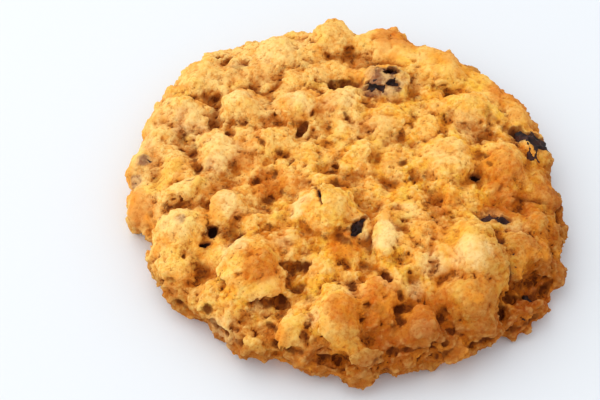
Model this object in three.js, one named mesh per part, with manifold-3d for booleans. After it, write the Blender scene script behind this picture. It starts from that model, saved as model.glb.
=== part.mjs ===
// An oatmeal raisin cookie, 80 mm across: one lumpy round of dough with oat flakes fused to it, and the raisins
// that show, each a solid of its own in a socket of the dough. Millimetres, +Z up; the origin is the centre of
// the flat underside, and -Y is the front.
import * as THREE from "three";
import { ImprovedNoise } from "three/addons/math/ImprovedNoise.js";
import { mergeVertices } from "three/addons/utils/BufferGeometryUtils.js";
import Module from "manifold-3d";

// ---- Driving sizes ----

const RADIUS = 37.6; // of the outline, before its lobes
const CROWN_HEIGHT = 10.4; // the middle of the dome, before its lumps
const SHOULDER_HEIGHT = 8.2; // where the top turns down into the side
const SHOULDER_SHARE = 0.87; // the shoulder's radius, as a share of the outline's
const BULGE_HEIGHT = 3.2; // the widest level of the side
const FOOT_SHARE = 0.95; // the radius of the flat underside, as a share of the outline's
const DOME_POWER = 2.4; // how late the dome falls away towards the shoulder

const TOP_RINGS = 23; // rings of the skin from the middle to the shoulder, each with six points more than the last
const SIDE_ROWS = 5; // rows from the shoulder to the bulge
const FOOT_ROWS = 2; // rows from the bulge to the underside
const BASE_RINGS = [
  { points: 60, share: 0.74 },
  { points: 24, share: 0.4 },
]; // the underside is flat, so a few wide rings carry it

const SMALL_LUMPS = 150; // on the top, between the lumps placed by hand
const SIDE_LUMPS = 110;
const SMALL_LUMP_RADIUS = [2.2, 3.6];
const SMALL_LUMP_RISE = [0.5, 1.3];
const SIDE_LUMP_RADIUS = [1.9, 3.1];
const SIDE_LUMP_RISE = [0.6, 1.6];
const GRAIN_SIZE = 2.6; // of the fine unevenness over everything
const GRAIN_DEPTH = 0.35;
const CALM_HEIGHT = 2; // lumps fade out below this level, so that the underside stays flat

const FLAKE_HALF = { along: 3.8, across: 2.8, thick: 0.55 }; // of a rolled oat
const FLAKE_SINK = 0.4; // of its middle into the dough
const FLAKE_SIDES = 7;
const SMALL_FLAKES = 14;
const SOCKET_GAP = 0.32; // between a raisin and the dough round it
const RAISIN_DETAIL = 2;
const SEED = 20;

// ---- The shapes that give this cookie its face ----

// Bulges and notches of the outline: the bearing in degrees from +X, half the width in degrees, and how far out.
const LOBES = [
  { bearing: 45, spread: 9, out: 0.8 },
  { bearing: 90, spread: 14, out: 0.7 },
  { bearing: 132, spread: 14, out: 2.5 },
  { bearing: 160, spread: 10, out: 1.3 },
  { bearing: 183, spread: 5, out: 0.6 },
  { bearing: 196, spread: 5, out: -2.2 },
  { bearing: 238, spread: 16, out: -1.3 },
  { bearing: 273, spread: 6, out: 0.2 },
  { bearing: 324, spread: 15, out: 5 },
  { bearing: 345, spread: 5, out: -0.6 },
];

// Mounds of the top: middle, half length, half width, the long way's bearing, and how far they rise.
const MOUNDS = [
  { x: 23, y: -18, along: 8, across: 5.4, turn: 95, rise: 3.4 },
  { x: 21.5, y: -27, along: 6.6, across: 5.4, turn: 10, rise: 3 },
  { x: 6.8, y: -15, along: 7.5, across: 2.8, turn: 86, rise: 2.2 },
  { x: 13.5, y: -17, along: 6.5, across: 5.5, turn: 80, rise: 1.9 },
  { x: -16, y: -20.5, along: 7.2, across: 6.4, turn: 80, rise: 3.3 },
  { x: -1, y: -30, along: 8, across: 4.6, turn: 94, rise: 2.9 },
  { x: 5.5, y: -27, along: 6, across: 5, turn: 30, rise: 2.5 },
  { x: 12.5, y: -31.5, along: 5, across: 4, turn: 90, rise: 2.1 },
  { x: -9.5, y: -32, along: 4.4, across: 3, turn: 70, rise: 1.8 },
  { x: -3, y: -9, along: 6.6, across: 5.6, turn: 150, rise: 2.9 },
  { x: -2, y: -19.5, along: 6, across: 5, turn: 100, rise: 1.8 },
  { x: 31.5, y: -17, along: 6, across: 4.4, turn: 120, rise: 2.2 },
  { x: 32, y: -9, along: 4, across: 3.4, turn: 40, rise: 1.8 },
  { x: 28.5, y: 2, along: 6.5, across: 4.4, turn: 95, rise: 2.4 },
  { x: 18.5, y: 3.2, along: 5.8, across: 5, turn: 60, rise: 2.1 },
  { x: 23, y: 15, along: 6, across: 4, turn: 170, rise: 2.4 },
  { x: 16.5, y: 25.5, along: 7, across: 5.5, turn: 150, rise: 1.7 },
  { x: 31.5, y: 16, along: 5, across: 3.6, turn: 120, rise: 1.4 },
  { x: 8.5, y: 32, along: 7, across: 4.4, turn: 170, rise: 2 },
  { x: -2.5, y: 33.5, along: 5.2, across: 5, turn: 0, rise: 2.6 },
  { x: -12, y: 29, along: 6, across: 5, turn: 10, rise: 2.2 },
  { x: -25, y: 24, along: 5, across: 4.2, turn: 40, rise: 1.9 },
  { x: -18.5, y: 15.5, along: 4.6, across: 4, turn: 0, rise: 2 },
  { x: -28.5, y: 14.5, along: 5, across: 3.4, turn: 0, rise: 1.9 },
  { x: -34.5, y: 11, along: 7, across: 4, turn: 75, rise: 1.5 },
  { x: -22, y: 5, along: 5, across: 4, turn: 20, rise: 1.9 },
  { x: -29.5, y: 2, along: 4, across: 3.6, turn: 60, rise: 1.8 },
  { x: -28, y: -4, along: 4.6, across: 3.4, turn: 20, rise: 2 },
  { x: -20.5, y: -8, along: 4.6, across: 4, turn: 60, rise: 2 },
  { x: -29, y: -12, along: 6, across: 4.8, turn: 20, rise: 2.1 },
  { x: -15, y: -10.5, along: 4.4, across: 3.6, turn: 0, rise: 1.5 },
  { x: -30, y: -20, along: 5, across: 4.4, turn: 100, rise: 1.4 },
  { x: -9, y: 15, along: 4.8, across: 4.2, turn: 20, rise: 2.1 },
  { x: 0, y: 15.5, along: 5, across: 4.2, turn: 0, rise: 2.1 },
  { x: -12, y: 7.5, along: 4.4, across: 3.4, turn: 0, rise: 1.5 },
  { x: 7.5, y: 12, along: 6, across: 5, turn: 160, rise: 1.7 },
];

// Low lumps on the side and the rim, placed by their bearing and height instead.
const RIM_MOUNDS = [
  { bearing: 189, height: 5, radius: 5, rise: 1 },
  { bearing: 174, height: 6, radius: 5, rise: 0.6 },
  { bearing: 322, height: 2.2, radius: 5, rise: 1 },
  { bearing: 273, height: 3, radius: 4, rise: 0.5 },
  { bearing: 277, height: 6, radius: 3.4, rise: 1.4 },
  { bearing: 297, height: 4, radius: 3.2, rise: 1.4 },
  { bearing: 309, height: 3, radius: 3.8, rise: 1.5 },
  { bearing: 255, height: 6.4, radius: 3.4, rise: 1.2 },
  { bearing: 243, height: 4, radius: 4, rise: 1.3 },
  { bearing: 228, height: 5, radius: 4.4, rise: 1.3 },
  { bearing: 209, height: 5, radius: 4.6, rise: 1.2 },
  { bearing: 352, height: 5, radius: 4.4, rise: 1.2 },
  { bearing: 337, height: 4, radius: 4, rise: 1.1 },
];

// Clefts between the mounds: middle, half length, half width, the long way's bearing, and depth. The first
// cuts the dome back above the foot that the front right side stands on; tall is half its height.
const CLEFTS = [
  { x: 31, y: -25.4, along: 9.5, across: 4.8, tall: 6, turn: 50, depth: 5.6 },
  { x: 28.4, y: -24, along: 4.5, across: 2.2, turn: 80, depth: 1.6 },
  { x: -9, y: -21.5, along: 3.4, across: 2.2, turn: 20, depth: 2 },
  { x: -14, y: -29, along: 6, across: 2, turn: 4, depth: 2.2 },
  { x: -34.5, y: -12, along: 4, across: 2.2, turn: 70, depth: 2 },
  { x: -24.5, y: -28.5, along: 2.8, across: 2.4, turn: 90, depth: 2.4 },
  { x: 0.8, y: 21.3, along: 4.4, across: 2.2, turn: 5, depth: 2 },
  { x: -7.3, y: 9, along: 3, across: 2, turn: 60, depth: 1.6 },
  { x: -14, y: -1.5, along: 4.6, across: 3.2, turn: 110, depth: 1.4 },
  { x: -23.6, y: 14.5, along: 5, across: 2, turn: 95, depth: 1.7 },
  { x: 9.3, y: -28.5, along: 3.6, across: 1.9, turn: 70, depth: 1.6 },
  { x: 16.6, y: -30.5, along: 3.6, across: 1.9, turn: 70, depth: 1.6 },
  { x: 25.8, y: 9.6, along: 4.5, across: 2.2, turn: 150, depth: 1.6 },
];

// Oat flakes that stand out, placed as the mounds or by bearing and height, and lift tips each about its length.
const FLAKES = [
  { x: 23.6, y: -17.5, along: 6.6, across: 3.6, turn: 95, lift: 4 },
  { x: 6.8, y: -14.5, along: 6, across: 2, turn: 86, lift: 10 },
  { x: -15, y: -24.5, along: 5, across: 3.2, turn: 3, lift: -12 },
  { x: -3.2, y: -31, along: 6, across: 2.4, turn: 92, lift: 12 },
  { x: 12.4, y: -33, along: 4, across: 3, turn: 170, lift: -10 },
  { x: -9.4, y: -32.4, along: 3.6, across: 2.3, turn: 70, lift: 8 },
  { x: -20.6, y: -8, along: 4.4, across: 3.2, turn: 70, lift: 6 },
  { x: -27.8, y: -4, along: 4.4, across: 2.6, turn: 22, lift: -10 },
  { x: 18.2, y: 2, along: 4.6, across: 3.8, turn: 20, lift: -10 },
  { x: 24, y: 14, along: 4.6, across: 2.6, turn: 170, lift: -12 },
  { x: -27, y: 16, along: 4, across: 2, turn: 172, lift: -10 },
  { x: -7.6, y: 14.4, along: 4, across: 3, turn: 20, lift: -8 },
  { x: 13.5, y: -12.5, along: 3.8, across: 2.8, turn: 120, lift: 8 },
  { x: 19, y: -32.5, along: 4, across: 2.8, turn: 165, lift: -10 },
  { bearing: 276, height: 6.2, along: 3.2, across: 2.3, turn: 5, lift: 0 },
  { bearing: 297, height: 4.4, along: 2.8, across: 2, turn: 150, lift: 10 },
  { bearing: 244, height: 4.6, along: 3, across: 2.2, turn: 30, lift: -10 },
  { bearing: 215, height: 5, along: 3.2, across: 2.4, turn: 80, lift: 8 },
  { bearing: 345, height: 5, along: 3, across: 2.4, turn: 60, lift: 10 },
  { bearing: 40, height: 5.4, along: 3.4, across: 2.4, turn: 120, lift: -8 },
  { bearing: 108, height: 5, along: 3.2, across: 2.2, turn: 160, lift: 8 },
  { bearing: 146, height: 5.2, along: 3.4, across: 2.4, turn: 60, lift: 10 },
];

// The raisins that show. On the top, poke is how far the raisin stands above the dough; at the rim, its bearing
// and height place it. Sizes are half its length, width and depth.
const RAISINS = [
  { name: "raisin_rear", x: 8.4, y: 22, half: [5, 4.2, 3.2], turn: 20, poke: 0.9 },
  { name: "raisin_rear_left", x: -19.8, y: 26.3, half: [4, 3, 2.6], turn: 60, poke: 0.3 },
  { name: "raisin_left", x: -29.6, y: -10.4, half: [4.3, 3.3, 2.8], turn: 10, poke: 0 },
  { name: "raisin_left_pit", x: -22.3, y: -14.9, half: [4, 2.8, 2.4], turn: 120, poke: 0.1 },
  { name: "raisin_middle", x: -5, y: -8.4, half: [4.8, 3.6, 3], turn: 95, poke: -0.3 },
  { name: "raisin_middle_pit", x: 2.6, y: -13.4, half: [3.8, 2.6, 2.4], turn: 60, poke: 0.1 },
  { name: "raisin_right", x: 25.6, y: -10.2, half: [4.1, 2.8, 2.5], turn: 170, poke: 0.3 },
  { name: "raisin_right_small", x: 22.8, y: -3.4, half: [3.4, 2.4, 2.2], turn: 10, poke: 0 },
  { name: "raisin_under_flake", x: 28.5, y: -18, half: [3.8, 2.6, 2.3], turn: 100, poke: 0.5 },
  { name: "raisin_right_rim", bearing: 13.5, height: 7.3, half: [4.4, 3.6, 2.9], turn: 100, poke: 0.8 },
  { name: "raisin_left_rim", bearing: 175, height: 6.4, half: [4.8, 3.4, 2.8], turn: 80, poke: 0.4 },
  { name: "raisin_right_foot", x: 31.8, y: -26.8, half: [3.6, 2.4, 1.8], turn: 40, poke: 0.9 },
  { name: "raisin_back_rim", bearing: 76, height: 7.2, half: [4.4, 3.2, 2.6], turn: 0, poke: 0.3 },
];

// ---- Materials ----

const doughLook = new THREE.MeshStandardMaterial({ color: 0xd99a45, roughness: 0.85, metalness: 0 });
const raisinLook = new THREE.MeshStandardMaterial({ color: 0x2e1418, roughness: 0.45, metalness: 0 });

// ---- Helpers ----

const DEGREE = Math.PI / 180;
const UP = new THREE.Vector3(0, 0, 1);
const noise = new ImprovedNoise();

function seededRandom(seed) {
  let state = seed;
  return () => {
    state = (state + 0x6d2b79f5) | 0;
    let mixed = Math.imul(state ^ (state >>> 15), 1 | state);
    mixed = (mixed + Math.imul(mixed ^ (mixed >>> 7), 61 | mixed)) ^ mixed;
    return ((mixed ^ (mixed >>> 14)) >>> 0) / 2 ** 32;
  };
}

const random = seededRandom(SEED);
const between = ([low, high]) => low + (high - low) * random();

function smoothstep(low, high, value) {
  const t = THREE.MathUtils.clamp((value - low) / (high - low), 0, 1);
  return t * t * (3 - 2 * t);
}

// ---- The smooth dome under the lumps ----

function outline(bearing) {
  const swell = LOBES.map((lobe) => {
    const away = Math.atan2(Math.sin(bearing - lobe.bearing * DEGREE), Math.cos(bearing - lobe.bearing * DEGREE));
    return lobe.out * Math.exp(-((away / (lobe.spread * DEGREE)) ** 2));
  });
  return RADIUS + swell.reduce((sum, part) => sum + part, 0);
}

// Points of the dome's section, each with its share of the outline, height and outward normal.
function topSection(share) {
  const fall = (CROWN_HEIGHT - SHOULDER_HEIGHT) * (share / SHOULDER_SHARE) ** DOME_POWER;
  return { share, height: CROWN_HEIGHT - fall, out: 0.12 * share, up: 1 };
}

function sideSection(turn) {
  const width = 1 - SHOULDER_SHARE;
  return {
    share: SHOULDER_SHARE + width * Math.sin(turn),
    height: BULGE_HEIGHT + (SHOULDER_HEIGHT - BULGE_HEIGHT) * Math.cos(turn),
    out: Math.sin(turn),
    up: Math.cos(turn),
  };
}

function footSection(turn) {
  return {
    share: FOOT_SHARE + (1 - FOOT_SHARE) * Math.cos(turn),
    height: BULGE_HEIGHT * (1 - Math.sin(turn)),
    out: Math.cos(turn),
    up: 0,
  };
}

// The section at a height of the side, for what is placed by its height.
function sectionAt(height) {
  const rise = (height - BULGE_HEIGHT) / (SHOULDER_HEIGHT - BULGE_HEIGHT);
  if (rise < 0) return footSection(Math.asin(1 - height / BULGE_HEIGHT));
  return sideSection(Math.acos(Math.min(rise, 1)));
}

function domePoint(section, bearing) {
  const radius = section.share * outline(bearing);
  return new THREE.Vector3(radius * Math.cos(bearing), radius * Math.sin(bearing), section.height);
}

function domeNormal(section, bearing) {
  return new THREE.Vector3(
    section.out * Math.cos(bearing),
    section.out * Math.sin(bearing),
    section.up,
  ).normalize();
}

// Where a plan point meets the dome: its section and bearing.
function under(x, y) {
  const bearing = Math.atan2(y, x);
  const share = Math.hypot(x, y) / outline(bearing);
  if (share < SHOULDER_SHARE) return { section: topSection(share), bearing };
  const reach = Math.min((share - SHOULDER_SHARE) / (1 - SHOULDER_SHARE), 1);
  return { section: sideSection(Math.asin(reach)), bearing };
}

// ---- Lumps and clefts ----

// A lump is an ellipse on the skin; half is its length, width and depth, and rise is negative for a cleft.
function lumpOnTop({ x, y, along, across, tall, turn, rise }) {
  const { section, bearing } = under(x, y);
  return {
    middle: domePoint(section, bearing),
    half: [along, across, tall ?? Math.max(along, across)],
    turn: turn * DEGREE,
    rise,
  };
}

function lumpOnSide({ bearing, height, radius, rise }) {
  return {
    middle: domePoint(sectionAt(height), bearing * DEGREE),
    half: [radius, radius, radius],
    turn: 0,
    rise,
  };
}

// How high a lump stands at a point: a round-topped ellipse.
function liftOf(lump, point) {
  const dx = point.x - lump.middle.x;
  const dy = point.y - lump.middle.y;
  const along = (dx * Math.cos(lump.turn) + dy * Math.sin(lump.turn)) / lump.half[0];
  const across = (dy * Math.cos(lump.turn) - dx * Math.sin(lump.turn)) / lump.half[1];
  const down = (point.z - lump.middle.z) / lump.half[2];
  const spread = along ** 2 + across ** 2 + down ** 2;
  return spread < 1 ? lump.rise * (1 - spread) ** 0.9 : 0;
}

// Spots on the top that keep a distance from each other, by throwing points at random and keeping the clear ones.
function scatteredSpots(count, apart, taken) {
  const spots = [];
  for (let tries = 0; spots.length < count && tries < 60 * count; tries++) {
    const bearing = 2 * Math.PI * random();
    const radius = RADIUS * 0.93 * Math.sqrt(random());
    const spot = { x: radius * Math.cos(bearing), y: radius * Math.sin(bearing) };
    const clear = [...spots, ...taken].every((other) => Math.hypot(spot.x - other.x, spot.y - other.y) > apart);
    if (clear) spots.push(spot);
  }
  return spots;
}

function smallLumps() {
  return scatteredSpots(SMALL_LUMPS, 3.9, []).map((spot) =>
    lumpOnTop({
      ...spot,
      along: between(SMALL_LUMP_RADIUS) * 1.15,
      across: between(SMALL_LUMP_RADIUS),
      turn: 180 * random(),
      rise: between(SMALL_LUMP_RISE),
    }),
  );
}

function sideLumps() {
  return Array.from({ length: SIDE_LUMPS }, (_, i) =>
    lumpOnSide({
      bearing: (360 * (i + random())) / SIDE_LUMPS,
      height: between([1.2, SHOULDER_HEIGHT]),
      radius: between(SIDE_LUMP_RADIUS),
      rise: between(SIDE_LUMP_RISE),
    }),
  );
}

const mounds = [...MOUNDS.map(lumpOnTop), ...RIM_MOUNDS.map(lumpOnSide)];
const lumps = [...smallLumps(), ...sideLumps()];
const clefts = CLEFTS.map((cleft) => lumpOnTop({ ...cleft, rise: cleft.depth }));
const highest = (list, point) => Math.max(...list.map((one) => liftOf(one, point)));

// How far the skin stands out from the dome: the mounds, the small lumps on them, less the clefts, and a fine grain.
function relief(point) {
  const grain = noise.noise(point.x / GRAIN_SIZE, point.y / GRAIN_SIZE, point.z / GRAIN_SIZE);
  const out = highest(mounds, point) + highest(lumps, point) - highest(clefts, point) + GRAIN_DEPTH * grain;
  return out * smoothstep(0, CALM_HEIGHT, point.z);
}

function skinPoint(section, bearing) {
  const point = domePoint(section, bearing);
  return point.addScaledVector(domeNormal(section, bearing), relief(point));
}

function topPoint(x, y) {
  const { section, bearing } = under(x, y);
  return skinPoint(section, bearing);
}

// The way the skin faces, over a flake's width.
function skinNormal(x, y) {
  const step = 2;
  const alongX = topPoint(x + step, y).sub(topPoint(x - step, y));
  const alongY = topPoint(x, y + step).sub(topPoint(x, y - step));
  return alongX.cross(alongY).normalize();
}

// Where a piece sits and the way it faces: by its plan point on the top, by its bearing and height on the side.
function seat({ x, y, bearing, height }) {
  if (bearing === undefined) return { at: topPoint(x, y), facing: skinNormal(x, y) };
  const section = sectionAt(height);
  return { at: skinPoint(section, bearing * DEGREE), facing: domeNormal(section, bearing * DEGREE) };
}

// ---- The dough's skin, as rings of points joined by bands of triangles ----

function ring(points, section) {
  return Array.from({ length: points }, (_, i) => {
    const bearing = (2 * Math.PI * i) / points;
    return { bearing, at: skinPoint(section, bearing) };
  });
}

function skinRings() {
  const rings = [];
  for (let k = 0; k <= TOP_RINGS; k++) {
    rings.push(ring(Math.max(6 * k, 1), topSection((SHOULDER_SHARE * k) / TOP_RINGS)));
  }
  const around = 6 * TOP_RINGS;
  for (let k = 1; k <= SIDE_ROWS; k++) {
    rings.push(ring(around, sideSection(((Math.PI / 2) * k) / SIDE_ROWS)));
  }
  for (let k = 1; k <= FOOT_ROWS; k++) {
    rings.push(ring(around, footSection(((Math.PI / 2) * k) / FOOT_ROWS)));
  }
  for (const { points, share } of [...BASE_RINGS, { points: 1, share: 0 }]) {
    rings.push(ring(points, { share, height: 0, out: 0, up: -1 }));
  }
  return rings;
}

// Triangles between two rings, each step taken on whichever ring lags behind.
function band(inner, outer) {
  const triangles = [];
  const turns = (points, index) => (points.length === 1 ? Infinity : (index + 1) / points.length);
  let i = 0;
  let o = 0;
  while (i < inner.length || o < outer.length) {
    const stepInner = o >= outer.length || (i < inner.length && turns(inner, i) < turns(outer, o));
    if (stepInner && inner.length === 1) break;
    const from = inner[i % inner.length];
    const across = outer[o % outer.length];
    const next = stepInner ? inner[(i + 1) % inner.length] : outer[(o + 1) % outer.length];
    triangles.push(from, across, next);
    if (stepInner) i++;
    else if (outer.length > 1) o++;
    if (outer.length === 1 && i >= inner.length) break;
  }
  return triangles;
}

function doughGeometry() {
  const rings = skinRings();
  const corners = rings.slice(1).flatMap((outer, k) => band(rings[k], outer));
  return new THREE.BufferGeometry().setFromPoints(corners.map((corner) => corner.at));
}

// ---- Oat flakes ----

// A thin round-edged disc with its long way on X.
function flakeGeometry({ along, across, thick }) {
  const edge = [
    [0, -1],
    [1, -0.2],
    [0.8, 0.8],
    [0, 1],
  ];
  const disc = new THREE.LatheGeometry(
    edge.map(([radius, height]) => new THREE.Vector2(radius, height)),
    FLAKE_SIDES,
  );
  return disc.rotateX(Math.PI / 2).scale(along, across, thick);
}

// A flake lying in the skin, tipped about its length.
function flakeAt({ along, across, turn, lift, ...spot }) {
  const { at, facing } = seat(spot);
  const flake = new THREE.Mesh(flakeGeometry({ along, across, thick: FLAKE_HALF.thick }));
  flake.rotation.set(lift * DEGREE, 0, turn * DEGREE, "ZXY");
  flake.quaternion.premultiply(new THREE.Quaternion().setFromUnitVectors(UP, facing));
  flake.position.copy(at).addScaledVector(facing, -FLAKE_SINK);
  flake.updateMatrix();
  return flake.geometry.applyMatrix4(flake.matrix);
}

function flakeGeometries() {
  const taken = [...FLAKES, ...RAISINS].map((piece) => seat(piece).at);
  const small = scatteredSpots(SMALL_FLAKES, 5.4, taken).map((spot) => ({
    ...spot,
    along: FLAKE_HALF.along * between([0.65, 1]),
    across: FLAKE_HALF.across * between([0.65, 1]),
    turn: 360 * random(),
    lift: between([-24, 24]),
  }));
  return [...FLAKES, ...small].map(flakeAt);
}

// ---- Raisins ----

// A wrinkled oval: folds run along it, and deepen towards its waist.
function raisinGeometry({ half, turn }, grow) {
  const ball = new THREE.IcosahedronGeometry(1, RAISIN_DETAIL);
  const points = ball.getAttribute("position");
  const spot = new THREE.Vector3();
  for (let i = 0; i < points.count; i++) {
    spot.fromBufferAttribute(points, i);
    const round = Math.atan2(spot.z, spot.y);
    const fold = 1 - 0.07 * Math.cos(5 * round + 2 * spot.x + turn) - 0.04 * Math.cos(9 * spot.x + turn);
    spot.multiplyScalar(fold);
    points.setXYZ(i, spot.x * (half[0] + grow), spot.y * (half[1] + grow), spot.z * (half[2] + grow));
  }
  return ball;
}

function placeRaisin(raisin) {
  const mesh = new THREE.Mesh(raisinGeometry(raisin, 0), raisinLook);
  mesh.name = raisin.name;
  const { at, facing } = seat(raisin);
  mesh.quaternion
    .setFromUnitVectors(UP, facing)
    .multiply(new THREE.Quaternion().setFromAxisAngle(UP, raisin.turn * DEGREE));
  mesh.position.copy(at).addScaledVector(facing, raisin.poke - raisin.half[2]);
  mesh.updateMatrix();
  return mesh;
}

// ---- Joining and cutting ----

const wasm = await Module();
wasm.setup();

function solidOf(geometry) {
  const bare = new THREE.BufferGeometry().setAttribute("position", geometry.getAttribute("position"));
  if (geometry.index) bare.setIndex(geometry.index);
  const merged = mergeVertices(bare, 1e-4);
  return new wasm.Manifold(
    new wasm.Mesh({
      numProp: 3,
      vertProperties: merged.getAttribute("position").array,
      triVerts: new Uint32Array(merged.index.array),
    }),
  );
}

function geometryOf(solid) {
  const { vertProperties, triVerts } = solid.getMesh();
  return new THREE.BufferGeometry()
    .setAttribute("position", new THREE.BufferAttribute(vertProperties, 3))
    .setIndex(new THREE.BufferAttribute(triVerts, 1));
}

// The largest piece, so that no loose scrap is left beside a socket.
function largestPiece(solid) {
  return solid.decompose().reduce((best, piece) => (piece.volume() > best.volume() ? piece : best));
}

// ---- The cookie ----

const raisins = RAISINS.map(placeRaisin);

let dough = solidOf(doughGeometry());
for (const flake of flakeGeometries()) {
  dough = dough.add(solidOf(flake));
}
RAISINS.forEach((raisin, i) => {
  dough = dough.subtract(solidOf(raisinGeometry(raisin, SOCKET_GAP).applyMatrix4(raisins[i].matrix)));
});

const doughMesh = new THREE.Mesh(geometryOf(largestPiece(dough)), doughLook);
doughMesh.name = "dough";

const cookie = new THREE.Group();
cookie.add(doughMesh, ...raisins);

export default cookie;
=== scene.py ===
"""The looks of an oatmeal raisin cookie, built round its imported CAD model.

The dough is one skin. It starts as the CAD dough, smoothed and moved a little at the rim, with a film of
dough over each raisin. Mounds, lumps and creases are raised and pressed in along its normals, oat flakes are
set on it, and it is remeshed and given crumb, cracks and pores. Each raisin is its CAD raisin, refined and
wrinkled, and shows where the film is broken. Lengths are in millimetres until a mesh is handed to the scene
in metres.
"""

import math
import random

import bmesh
import bpy
import numpy as np
from mathutils import Matrix, Vector, noise
from mathutils.bvhtree import BVHTree


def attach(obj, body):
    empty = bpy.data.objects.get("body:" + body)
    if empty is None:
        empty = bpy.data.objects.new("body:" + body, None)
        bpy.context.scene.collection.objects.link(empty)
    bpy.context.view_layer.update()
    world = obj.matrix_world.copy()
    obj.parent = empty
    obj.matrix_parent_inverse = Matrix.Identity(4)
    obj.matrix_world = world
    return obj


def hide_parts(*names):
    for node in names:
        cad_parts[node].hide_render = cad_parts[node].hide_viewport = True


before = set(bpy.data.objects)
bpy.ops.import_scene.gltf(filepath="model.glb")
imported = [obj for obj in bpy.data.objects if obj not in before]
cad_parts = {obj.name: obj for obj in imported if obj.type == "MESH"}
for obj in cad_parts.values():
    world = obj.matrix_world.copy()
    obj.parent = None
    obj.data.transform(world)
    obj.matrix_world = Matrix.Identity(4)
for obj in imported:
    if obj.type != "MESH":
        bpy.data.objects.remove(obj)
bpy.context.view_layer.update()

# ---- Sizes, in millimetres ----

SEED = 11
RADIUS = 38.5
METRE = 1000

BASE_VOXEL = 0.7  # of the CAD dough before it is smoothed
FORM_VOXEL = 0.5  # of the skin while its mounds and creases are made
SKIN_VOXEL = 0.35  # of the finished skin

CLEFT_FILL = 0.3  # how much of the CAD dough's clefts is filled
INSET = 0.35  # of the skin into the CAD dough, which leaves room for the relief
MOUND_GAIN = 0.85  # of the heights in MOUNDS and SIDE_MOUNDS
CREASE_GAIN = 0.55  # of the depths in CREASES and SIDE_CREASES
PRESS = 0.12  # how much of those depths is pressed in again with the crumb
OAT_THICKNESS = 0.6

FILM = 0.5  # of dough over a raisin, except over those in FILMS
FILMS = {"raisin_right_foot": 1.5, "raisin_right_rim": 0.2, "raisin_back_rim": 0.3}
GAP_DEPTH = 1.4  # how far the skin sinks where the film is broken
RAISIN_REACH = 7  # from a raisin's middle to past its far end
PROUD = {"raisin_right_rim": 0.1}  # how far a raisin stands out of its socket

# Lumps of the form and crumb of the skin, largest first: how far they are from middle to middle.
CHUNK = 6.4
CRACKED_CHUNK = 3.8
CLUMP = 3.6
DOME = 3.2
PORE = 2.7
CRUMB_CRACK = 2.4
CRUMB_DOME = 2.1
CRUMB = 1.9
GRAIN_DOME = 1.2
GRAIN = 1.1

# Rounds of smoothing that level the skin about a point, from close by to far off.
NEAR_ROUNDS = 8
WIDE_ROUNDS = 60
CLEFT_ROUNDS = 160
WIDEST_ROUNDS = 400

SKY_Z = 40  # rays down to the top start here
SIDE_REACH = 60  # rays in to the side start here
FLAT_Z = 0.3  # what is lower lies on the table

# How far the rim is moved out at a bearing in degrees.
RIM_SHIFTS = {
    0: -0.6,
    8: 0.2,
    15: -0.8,
    30: 0.9,
    45: -0.4,
    60: 0.6,
    70: -0.8,
    78: -2.6,
    85: -0.2,
    90: 0.9,
    97: 0.4,
    105: 1.0,
    120: 1.3,
    135: 1.1,
    150: 1.1,
    165: -1.3,
    180: -0.2,
    195: 0.8,
    210: -0.6,
    225: -0.2,
    240: 0.9,
    255: -0.8,
    270: -0.3,
    285: 0.7,
    300: 0.1,
    315: -0.4,
    330: -0.6,
    345: 1.6,
}

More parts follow.
